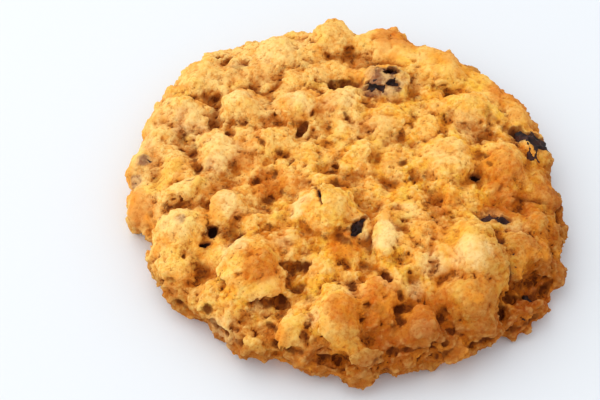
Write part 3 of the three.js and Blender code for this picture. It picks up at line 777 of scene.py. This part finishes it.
def raise_form(form):
    """Raise the mounds and the lumps between them, and press in the creases."""
    points, normals = form.points, form.normals()
    foot = footward(points)
    bend = warped(points, 5.0, 1.6)
    raised, smooth = mounded(points, normals, (field(points, 3.1, 5.0), field(points, 1.6, 12.0)))
    lumps = np.maximum(raised, 1.6 * domed(points, CHUNK, 2.0, 1.5 * bend))
    bumps = (0.3 + 0.2 * foot) * plated(points, CLUMP, 5.0, 0.7 * bend)
    bumps = bumps + (0.45 + 0.6 * foot) * domed(points, DOME, 5.0, bend)
    bumps = bumps + (0.7 + 0.9 * foot) * billows(points, CLUMP, 23.0)
    lumps = lumps + bumps * (1 - 0.75 * smooth)

    # Over a raisin nothing is pressed in, so that it stays covered, and the gaps are nearly bare of lumps.
    covering = smoothstep(3.0, 1.2, film_over(points, 3.0))
    lumps = lumps + covering * (np.maximum(lumps, 0.0) - lumps)
    lumps = lumps + foot * (1 - covering) * (0.15 - 0.5 * cracked(points, CRACKED_CHUNK, 15.0, bend))
    depth, _ = creased(points, normals)
    out = lumps * (1 - 0.8 * gapped(points, 1.5)) - CREASE_GAIN * depth * (1 - 0.8 * covering)
    form.points = points + normals * (out * smoothstep(0.0, 1.0, points[:, 2]))[:, None]
    form.smoothed(1)
    form.settle()


form = Skin(covered.mesh)
raise_form(form)

# ---- Oat flakes set on the form ----

rng = random.Random(SEED)


def flake_form(sides=22, rings=4):
    """A flat oval of radius 1 and thickness 1, as points and faces, with a rounded edge."""
    points = [(0, 0, 0.5), (0, 0, -0.5)]
    faces = []
    levels = [(r / rings, 0.5) for r in range(1, rings)] + [(0.97, 0.3), (1.0, 0), (0.97, -0.3)]
    levels += [(r / rings, -0.5) for r in range(rings - 1, 0, -1)]
    for radius, height in levels:
        for i in range(sides):
            turn = 2 * math.pi * i / sides
            points.append((radius * math.cos(turn), radius * math.sin(turn), height))
    for i in range(sides):
        j = (i + 1) % sides
        faces.append((0, 2 + i, 2 + j))
        last = 2 + (len(levels) - 1) * sides
        faces.append((1, last + j, last + i))
        for k in range(len(levels) - 1):
            a = 2 + k * sides
            faces.append((a + i, a + sides + i, a + sides + j, a + j))
    return np.array(points), faces


FLAKE_POINTS, FLAKE_FACES = flake_form()


def bent(points, dish, groove, wave):
    """The flake with its ends curled, a shallow groove along it and an uneven edge."""
    turned = np.arctan2(points[:, 1], points[:, 0])
    swell = 1 + wave * (0.6 * np.sin(2 * turned + 7 * wave) + 0.5 * np.sin(5 * turned + 40 * wave))
    shaped = points * np.stack([swell, swell, np.ones(len(points))], 1)
    curl = dish * (points[:, 0] ** 2 + 0.6 * points[:, 1] ** 2)
    crease = -groove * np.exp(-((points[:, 1] / 0.16) ** 2)) * (points[:, 2] > 0) * (1 - points[:, 0] ** 2)
    shaped[:, 2] += curl + crease
    return shaped


def turned_to(facing, turn, lift, nose):
    """A turn that carries +Z to the way the skin faces, spun about it and tipped to its side and its end."""
    lean = Vector((0, 0, 1)).rotation_difference(facing).to_matrix()
    spin = Matrix.Rotation(turn, 3, "Z")
    tip = Matrix.Rotation(lift, 3, "X") @ Matrix.Rotation(nose, 3, "Y")
    return np.array(lean @ spin @ tip)


def add_flake(pieces, spot, facing, along, across, turn, lift, sink, pale):
    """Set a bent flake at a spot, sunk in by that much."""
    points = bent(FLAKE_POINTS, rng.uniform(-0.5, 0.1), rng.uniform(0.1, 0.4), rng.uniform(0.04, 0.14))
    points = points * np.array([along, across, OAT_THICKNESS * rng.uniform(0.8, 1.2)])
    points = points @ turned_to(facing, turn, lift, rng.uniform(-0.12, 0.12)).T
    pieces.add(points, FLAKE_FACES, spot - facing * sink, rng.random(), pale)


def strewn(count, apart, reach):
    """Random points in plan within the reach, no nearer to each other than apart."""
    kept = []
    for _ in range(count * 30):
        turn, radius = rng.uniform(0, math.tau), reach * math.sqrt(rng.random())
        x, y = radius * math.cos(turn), radius * math.sin(turn)
        if all(math.hypot(x - a, y - b) > apart for a, b in kept):
            kept.append((x, y))
        if len(kept) == count:
            break
    return kept


def oat_flakes():
    """A few flakes strewn on the top, then those that show in the top and the side."""
    flakes = Pieces()
    for x, y in strewn(9, 9, RADIUS - 6):
        along = rng.uniform(2.2, 3.8)
        across = along * rng.uniform(0.65, 0.85)
        turn, lift = rng.uniform(0, math.tau), rng.uniform(-0.12, 0.12)
        sink, pale = rng.uniform(0.3, 0.5), rng.uniform(0, 0.2)
        add_flake(flakes, *form.on_top(x, y), along, across, turn, lift, sink, pale)
    for x, y, along, across, bearing, lift, sink, pale in FLAKES:
        turn, lift = math.radians(bearing), math.radians(lift)
        add_flake(flakes, *form.on_top(x, y), along, across, turn, lift, sink, pale)
    for bearing, height, along, across, turn, pale in SIDE_FLAKES:
        spot, facing = form.on_side(bearing, height)
        facing = (facing + Vector((0, 0, 0.5))).normalized()
        add_flake(flakes, spot, facing, along, across, math.radians(bearing + 90 + turn), 0.0, 0.1, pale)
    return flakes


def flake_traits(points, flakes):
    """The tone and the paleness of the flake that each point lies on."""
    tree = BVHTree.FromPolygons(np.concatenate(flakes.points).tolist(), flakes.faces)
    traits = np.tile((0.5, 0.0), (len(points), 1))
    for i, point in enumerate(points.tolist()):
        _, _, face, _ = tree.find_nearest(Vector(point), SKIN_VOXEL)
        if face is not None:
            traits[i] = flakes.traits[face]
    return traits


flakes = oat_flakes()
skin = form.joined(flakes, SKIN_VOXEL)
skin.smoothed(1)

# ---- The skin's relief: crumb, cracks, pores and the gaps in the film ----

normals = skin.normals()

# The unevenness of edges, about 3 mm and 1 mm from bump to bump.
noise_3 = field(skin.points, 3.1, 5.0)
noise_1 = field(skin.points, 1.1, 9.0)

# What lies where: flakes, creases, mounds, gaps, patches and hollows.
tone, flake_pale = skin.averaged(flake_traits(skin.points, flakes), 2).T
depth, crease_shade = creased(skin.points, normals, 0.4)
_, smooth = mounded(skin.points, normals, (noise_3, field(skin.points, 1.6, 12.0)))
smooth = np.clip(flake_pale + smooth, 0, 1)
gap = gapped(skin.points, unevenness=0.5 * noise_1 + 0.3 * noise_3)
uneven = 0.3 * noise_3 + 0.2 * noise_1
toast_and_shade, pale, veil = (patches(table, skin.points, uneven) for table in (BROWNED_AND_SHADED, PALE, VEILS))
wide = skin.sunk(normals, WIDE_ROUNDS)
widest = skin.sunk(normals, WIDEST_ROUNDS)


def crumb_relief(points, smooth, wide):
    """How far the crumb raises each point: plates, domes and billows, with cracks deepest at the foot."""
    foot = footward(points)
    bend = warped(points, 2.2, 0.8)
    calm = smoothstep(-0.1, 0.5, field(points, 5.2, 17.0))
    crumb = 0.24 * plated(points, CRUMB, 3.0, bend) + 0.26 * domed(points, CRUMB_DOME, 3.0, bend)
    crumb = (crumb + 0.5 * billows(points, CRUMB, 27.0)) * (1 - 0.4 * calm) * (1 + 0.5 * foot)
    crumb = crumb - (0.12 + 0.23 * foot) * cracked(points, CRUMB_CRACK, 19.0, bend)
    crumb = crumb + 0.2 * domed(points, GRAIN_DOME, 8.0, 0.6 * bend) + 0.5 * billows(points, GRAIN, 33.0)
    crumb = crumb * (1 - 0.6 * smooth) * (0.75 + 0.25 * smoothstep(-0.3, 0.25, wide))

    # Small pores, most of them between the lumps.
    pores = smoothstep(0.36, 0.1, cells(points + 1.2 * bend, PORE, 51.0)[:, 0] + 0.15 * noise_1)
    pores = pores * smoothstep(-0.1, 0.35, field(points, 6.0, 61.0) + 0.8 * wide)
    return crumb - 0.5 * pores * (1 - smooth)


out = crumb_relief(skin.points, smooth, wide) - PRESS * depth
covering = smoothstep(2.5, 1.2, film_over(skin.points, 2.5))
out = out + covering * (np.maximum(out, -0.3) - out)
out = out + 0.7 * veil * (billows(skin.points, 2.4, 43.0) - 0.05)
out = out - GAP_DEPTH * smoothstep(0.3, 0.7, gap)
skin.points = skin.points + normals * (out * smoothstep(0.2, 1.5, skin.points[:, 2]))[:, None]

# Thin shards shrink back.
rounded = skin.averaged(skin.points, 10)
stray = smoothstep(0.45, 0.9, np.linalg.norm(rounded - skin.points, axis=1))
skin.points = skin.points + stray[:, None] * (rounded - skin.points)
skin.points[:, 2] = np.where(skin.points[:, 2] < FLAT_Z, 0.0, skin.points[:, 2])
near = skin.sunk(skin.normals(), NEAR_ROUNDS)

# ---- The skin as a piece of the scene ----

# Browner and in painted shade towards the foot of the side all round, less so where the painted light towards
# the window falls, with more painted shade down the near right, away from the window, and at the near foot.
x, y = skin.points[:, :2].T / RADIUS
downhill = 0.8 * x - 0.6 * y
lit = smoothstep(-0.2, 1.0, -downhill)
low = smoothstep(9.5, 3.0, skin.points[:, 2]) * (1 - 0.7 * lit) + 0.65 * smoothstep(0.3, 1.05, downhill)
low = np.clip(low, 0, 1) + 0.45 * smoothstep(0.68, 0.95, -y) * smoothstep(-0.6, 0.1, x)

# What the material reads at each point.
TRAITS = {
    "tone": tone,
    "pale": pale,
    "smooth": smooth,
    "near": near,
    "wide": wide,
    "widest": widest,
    "crease_shade": crease_shade,
    "toast_and_shade": toast_and_shade,
    "gap": gap,
    "low": np.clip(low, 0, 1),
    "lit": lit,
    "veil": veil,
}
set_points(skin.mesh, skin.points / METRE)
dough = linked("dough_skin", skin.mesh)
skin.mesh.polygons.foreach_set("use_smooth", [True] * len(skin.mesh.polygons))
for name, values in TRAITS.items():
    store(skin.mesh, name, values)


def flatten_underside(mesh, flat):
    """Make the points that lie flat one face, with the second material."""
    made = bmesh.new()
    made.from_mesh(mesh)
    for face in made.faces:
        if all(flat[v.index] for v in face.verts):
            face.material_index = 1
            face.smooth = False
    inner = [v for v in made.verts if v.link_faces and all(face.material_index == 1 for face in v.link_faces)]
    bmesh.ops.dissolve_verts(made, verts=inner)
    made.to_mesh(mesh)
    made.free()


flatten_underside(skin.mesh, skin.points[:, 2] < 1e-6)

# ---- Materials ----

# The sockets of a colour mix, which have the same names as those of other mixes.
MIX_A = 6
MIX_B = 7
MIX_RESULT = 2


class Graph:
    """A material's nodes, made in the order they feed each other."""

    def __init__(self, name, roughness, specular=None):
        self.material = bpy.data.materials.new(name)
        self.material.use_nodes = True
        self.nodes = self.material.node_tree.nodes
        self.links = self.material.node_tree.links
        self.shader = self.nodes["Principled BSDF"]
        self.shader.inputs["Roughness"].default_value = roughness
        if specular is not None:
            self.shader.inputs["Specular IOR Level"].default_value = specular

    def node(self, kind, **settings):
        made = self.nodes.new(kind)
        for key, value in settings.items():
            setattr(made, key, value)
        return made

    def feed(self, value, socket):
        if isinstance(value, bpy.types.NodeSocket):
            self.links.new(value, socket)
        else:
            socket.default_value = value

    def stored(self, name):
        return self.node("ShaderNodeAttribute", attribute_name=name).outputs["Fac"]

    def noise(self, scale, detail=3.0, rough=0.5):
        made = self.node("ShaderNodeTexNoise")
        self.feed(self.node("ShaderNodeTexCoord").outputs["Object"], made.inputs["Vector"])
        made.inputs["Scale"].default_value = scale
        made.inputs["Detail"].default_value = detail
        made.inputs["Roughness"].default_value = rough
        return made.outputs["Fac"]

    def span(self, value, low, high, to_low=0.0, to_high=1.0):
        made = self.node("ShaderNodeMapRange", interpolation_type="SMOOTHSTEP")
        for socket, given in zip(made.inputs, (value, low, high, to_low, to_high)):
            self.feed(given, socket)
        return made.outputs["Result"]

    def math(self, operation, a, b):
        made = self.node("ShaderNodeMath", operation=operation)
        self.feed(a, made.inputs[0])
        self.feed(b, made.inputs[1])
        return made.outputs["Value"]

    def times(self, a, b):
        return self.math("MULTIPLY", a, b)

    def mix(self, share, a, b, blend="MIX"):
        made = self.node("ShaderNodeMix", data_type="RGBA", blend_type=blend)
        self.feed(share, made.inputs["Factor"])
        self.feed(a, made.inputs[MIX_A])
        self.feed(b, made.inputs[MIX_B])
        return made.outputs[MIX_RESULT]

    def finish(self, colour, height=None, distance=0.0, strength=1.0):
        """Feed the colour to the shader, with bumps of that height, which are that far from low to high."""
        self.feed(colour, self.shader.inputs["Base Color"])
        if height is not None:
            made = self.node("ShaderNodeBump")
            made.inputs["Strength"].default_value = strength
            made.inputs["Distance"].default_value = distance
            self.feed(height, made.inputs["Height"])
            self.feed(made.outputs["Normal"], self.shader.inputs["Normal"])
        return self.material


def dough_material():
    g = Graph("baked_dough", 0.72, 0.06)
    traits = [g.stored(name) for name in TRAITS]
    tone, pale, smooth, near, wide, widest, crease_shade, toast_and_shade, gap, low, lit, veil = traits
    crumb = g.math("SUBTRACT", 1, g.math("MAXIMUM", pale, smooth))
    # Where the dough is neither browned nor under painted shade.
    unbrowned_and_unshaded = g.span(g.math("MAXIMUM", low, toast_and_shade), 0, 0.8, 1, 0.15)

    # Dough in two golds, with painted light towards the window and on what stands out.
    colour = g.mix(g.span(g.noise(230, 3), 0.38, 0.62), linear(254, 190, 58), linear(253, 192, 96))
    colour = g.mix(g.span(tone, 0.2, 1, 0, 0.3), colour, linear(244, 184, 88))
    colour = g.mix(g.times(lit, 0.9), colour, linear(255, 212, 132))
    colour = g.mix(g.span(g.noise(110, 4), 0.48, 0.66, 0, 0.55), colour, linear(220, 126, 30))
    colour = g.mix(g.span(widest, -1.3, -0.2, 0.35, 0), colour, linear(255, 200, 100))
    painted_light_on_tops = g.times(g.span(wide, -0.45, 0.05, 0.6, 0), g.span(toast_and_shade, 0.2, 1.0, 1, 0.3))
    colour = g.mix(painted_light_on_tops, colour, linear(255, 206, 108))

    # Browned patches, some of them painted shade; painted shade in the broad hollows; the browner foot with
    # painted shade away from the window; and pale patches, one of them a painted highlight.
    colour = g.mix(g.span(toast_and_shade, 0.1, 1, 0, 0.75), colour, linear(214, 112, 16))
    colour = g.mix(g.span(widest, 0.0, 0.9, 0, 0.6), colour, linear(164, 78, 10))
    colour = g.mix(g.span(low, 0, 1, 0, 0.85), colour, linear(158, 76, 16))
    colour = g.mix(g.span(pale, 0.1, 0.7, 0, 0.75), colour, linear(255, 220, 154))

    # Mottles of the crumb, and painted highlights on its crests.
    mottle = g.times(crumb, g.span(g.noise(800, 4, 0.65), 0.42, 0.62, 0, 0.6))
    colour = g.mix(mottle, colour, linear(246, 190, 84), "MULTIPLY")
    light = g.times(g.span(g.noise(560, 4, 0.6), 0.46, 0.64, 0, 0.4), unbrowned_and_unshaded)
    colour = g.mix(light, colour, linear(255, 214, 128))
    crest_highlight = g.times(g.span(near, -0.25, -0.02, 0.6, 0), g.math("MAXIMUM", unbrowned_and_unshaded, 0.3))
    colour = g.mix(crest_highlight, colour, linear(255, 216, 134))
    colour = g.mix(g.span(g.noise(190, 4), 0.52, 0.66, 0, 0.6), colour, linear(240, 150, 44))
    gold = g.times(g.span(g.noise(170, 4), 0.54, 0.68, 0, 0.4), unbrowned_and_unshaded)
    colour = g.mix(gold, colour, linear(252, 206, 84))

    # Painted shade, browner and darker the deeper it lies, in grains between the lumps.
    colour = g.mix(g.span(wide, 0.08, 0.3, 0, 0.45), colour, linear(196, 106, 16))
    colour = g.mix(g.span(wide, 0.22, 0.48, 0, 0.9), colour, linear(96, 40, 6))
    colour = g.mix(g.span(near, 0.03, 0.16, 0, 0.55), colour, linear(190, 100, 16))
    grain_brown_and_shade = g.times(g.span(g.noise(620, 5, 0.7), 0.48, 0.62, 0, 0.55), g.span(wide, -0.08, 0.22))
    colour = g.mix(grain_brown_and_shade, colour, linear(168, 84, 16))
    grain_brown_and_shade = g.times(g.span(g.noise(480, 5, 0.7), 0.53, 0.62, 0, 0.85), g.span(wide, 0.02, 0.3))
    colour = g.mix(grain_brown_and_shade, colour, linear(88, 36, 8))
    deep = g.times(g.span(near, 0.13, 0.3), g.span(wide, -0.25, 0.25, 0.25, 0.95))
    colour = g.mix(deep, colour, linear(92, 38, 8))

    # Grey film over a raisin, specks, painted shade in the creases and the edges of the gaps.
    grey = g.mix(g.span(g.noise(420, 4, 0.6), 0.4, 0.62), linear(222, 176, 118), linear(140, 92, 70))
    colour = g.mix(g.span(veil, 0, 1, 0, 0.9), colour, grey)
    specks = g.times(g.span(g.noise(1700, 2), 0.5, 0.66, 0, 0.5), g.span(crumb, 0, 1, 0.5, 1))
    colour = g.mix(specks, colour, linear(220, 174, 100), "MULTIPLY")
    specks = g.times(g.span(g.noise(1500, 1), 0.62, 0.74, 0, 0.7), g.times(crumb, g.span(near, -0.1, 0.05)))
    colour = g.mix(specks, colour, linear(150, 76, 26))
    colour = g.mix(g.span(crease_shade, 0.1, 1, 0, 0.75), colour, linear(96, 42, 12))
    colour = g.mix(g.span(gap, 0.0, 0.4, 0, 0.8), colour, linear(140, 74, 34))
    colour = g.mix(g.span(gap, 0.45, 0.9), colour, linear(36, 14, 10))

    height = g.math("ADD", g.noise(1000, 4, 0.65), g.times(g.noise(2600, 2), 0.4))
    height = g.times(height, g.math("ADD", 0.3, g.times(crumb, 0.7)))
    return g.finish(colour, height, 0.0006, 0.7)


def raisin_material():
    g = Graph("raisin_skin", 0.5, 0.2)
    colour = g.mix(g.span(g.noise(500, 3), 0.35, 0.7), linear(22, 7, 8), linear(70, 36, 28))
    return g.finish(colour, g.noise(900, 3), 0.0002, 0.6)


def underside_material():
    g = Graph("baked_underside", 0.75, 0.06)
    colour = g.mix(g.span(g.noise(60, 4), 0.4, 0.6), linear(206, 126, 44), linear(166, 88, 24))
    colour = g.mix(g.span(g.noise(420, 4, 0.6), 0.45, 0.62, 0, 0.7), colour, linear(226, 156, 74))
    colour = g.mix(g.span(g.noise(900, 3), 0.56, 0.66, 0, 0.7), colour, linear(110, 54, 14))
    return g.finish(colour, g.noise(600, 4, 0.65), 0.0006, 0.9)


skin.mesh.materials.clear()
skin.mesh.materials.append(dough_material())
skin.mesh.materials.append(underside_material())
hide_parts("dough")
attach(dough, "root")

# ---- Raisins ----


def wrinkled(name):
    """The CAD raisin as a mesh with finer faces, wrinkled in ridges and folds."""
    made = new_object(name + "_skin", *cad_form(name))
    weld = made.modifiers.new("weld", "WELD")
    weld.merge_threshold = 0.001
    finer = made.modifiers.new("finer", "SUBSURF")
    finer.levels = finer.render_levels = 3
    body = Skin(baked(made))
    normals = body.normals()
    seed = 7.0 * RAISINS.index(name)
    ridge = 1 - np.abs(field(body.points * np.array([1, 1, 0.7]), 1.9, seed))
    fold = 1 - np.abs(field(body.points, 0.9, seed + 3))
    out = PROUD.get(name, 0.0) + 0.7 * (ridge**3 - 0.7) + 0.25 * (fold**3 - 0.6)
    set_points(body.mesh, (body.points + normals * out[:, None]) / METRE)
    body.mesh.polygons.foreach_set("use_smooth", [True] * len(body.mesh.polygons))
    return body.mesh


raisin_skin = raisin_material()
for name in RAISINS:
    piece = linked(name + "_skin", wrinkled(name))
    piece.data.materials.clear()
    piece.data.materials.append(raisin_skin)
    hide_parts(name)
    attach(piece, "root")

# ---- Floor, light and camera, in metres ----

WINDOW = (-0.62, 0.22, 0.5)
TARGET = Vector((-0.007793, 0.001725, 0))
CAMERA_AWAY = 0.33
CAMERA_RISE = math.radians(52)  # above the table, as in the photograph


def aimed(made, place, target):
    made.location = place
    made.rotation_euler = (target - Vector(place)).to_track_quat("-Z", "Y").to_euler()


def floor(half):
    corners = [(-half, -half, 0), (half, -half, 0), (half, half, 0), (-half, half, 0)]
    made = new_object("floor", corners, [(0, 1, 2, 3)])
    made.location.z = -0.0001
    made.data.materials.append(Graph("white_table", 0.6).finish(linear(228, 231, 236)))


def window():
    light = bpy.data.lights.new("window", "AREA")
    light.shape = "DISK"
    light.size = 2.0
    light.energy = 8.6
    light.color = (1.0, 0.98, 0.93)
    aimed(linked("window", light), WINDOW, Vector((0, 0, 0)))


def room():
    world = bpy.data.worlds.new("studio")
    bpy.context.scene.world = world
    world.use_nodes = True
    background = world.node_tree.nodes["Background"]
    background.inputs["Color"].default_value = (0.95, 0.98, 1.0, 1)
    background.inputs["Strength"].default_value = 0.91


def camera():
    data = bpy.data.cameras.new("camera")
    data.lens = 108.9
    data.sensor_width = 36
    data.clip_start = 0.01
    made = linked("camera", data)
    back = Vector((0, -math.cos(CAMERA_RISE), math.sin(CAMERA_RISE)))
    aimed(made, TARGET + CAMERA_AWAY * back, TARGET)
    bpy.context.scene.camera = made


floor(3)
window()
room()
camera()
bpy.context.scene.view_settings.view_transform = "Standard"
